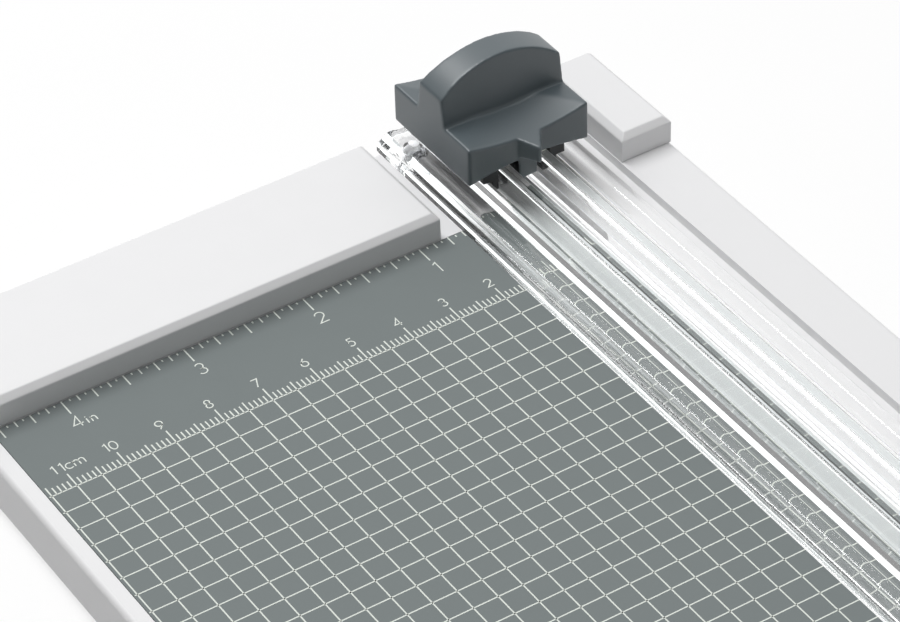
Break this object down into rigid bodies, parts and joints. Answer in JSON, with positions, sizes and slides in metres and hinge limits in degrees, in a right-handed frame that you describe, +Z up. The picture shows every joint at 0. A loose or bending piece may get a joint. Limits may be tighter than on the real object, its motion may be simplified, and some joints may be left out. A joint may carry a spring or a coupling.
{
  "type": "paper trimmer",
  "caption": "Desk paper trimmer: a round blade in a finger-grip head slides along a clear clamping rail over a base with a printed plate and a fence.",
  "frame": {"origin": "middle of the object's box, in the plane that the feet stand on", "axes": "+X to the right of the user, across the rail; +Y away from the user, along the rail towards the fence; +Z up"},
  "size_m": [0.152, 0.3746, 0.0404],
  "materials": {
    "white_plastic": "fine satin moulded plastic",
    "cover_plastic": "fine satin moulded plastic",
    "rubber": "dull soft rubber",
    "screw_steel": "zinc-plated",
    "grey_plate": "matt printed sheet",
    "strip_plastic": "satin, slightly translucent look",
    "spring_steel": "drawn wire",
    "clear_plastic": "clear, polished",
    "black_plastic": "satin",
    "pad_plastic": "waxy",
    "head_plastic": "fine matt moulded plastic",
    "blade_steel": "ground",
    "brass": "turned"
  },
  "bodies": {
    "base": {"base_housing": "white_plastic", "bottom_cover": "cover_plastic", "rubber_feet": "rubber", "bottom_cover_screws": "screw_steel", "measuring_plate": "grey_plate", "cutting_strip": "strip_plastic", "fence_bar": "white_plastic", "fence_screws": "screw_steel", "right_end_block": "white_plastic", "end_block_screws": "screw_steel", "rail_lift_springs": "spring_steel"},
    "rail": {"clamp_rail": "clear_plastic", "rail_guide_screws": "screw_steel", "slot_end_bumpers": "rubber"},
    "carriage": {"carriage": "black_plastic", "glide_pads": "pad_plastic", "head_springs": "spring_steel"},
    "head": {"head_shell": "head_plastic", "cartridge_left": "black_plastic", "cartridge_right": "black_plastic", "blade_axle": "spring_steel", "cartridge_screws": "screw_steel"},
    "blade": {"blade_disc": "blade_steel", "blade_hub": "brass"}
  },
  "joints": [
    {"name": "rail_press", "type": "slide", "parent": "base", "child": "rail", "axis": [0, 0, 1], "range_m": [-0.00075, 0], "stiffness_N_per_m": 6000, "springref_m": 0.0012, "deforming": ["rail_lift_springs"]},
    {"name": "head_slide", "type": "slide", "parent": "rail", "child": "carriage", "axis": [0, 1, 0], "range_m": [-0.33, 0]},
    {"name": "head_press", "type": "slide", "parent": "carriage", "child": "head", "axis": [0, 0, 1], "range_m": [-0.0012, 0], "stiffness_N_per_m": 1600, "springref_m": 0.0015, "deforming": ["head_springs"]},
    {"name": "blade_spin", "type": "hinge", "parent": "head", "child": "blade", "pos_m": [0.0433, 0.1712, 0.0205], "axis": [1, 0, 0], "continuous": true}
  ]
}
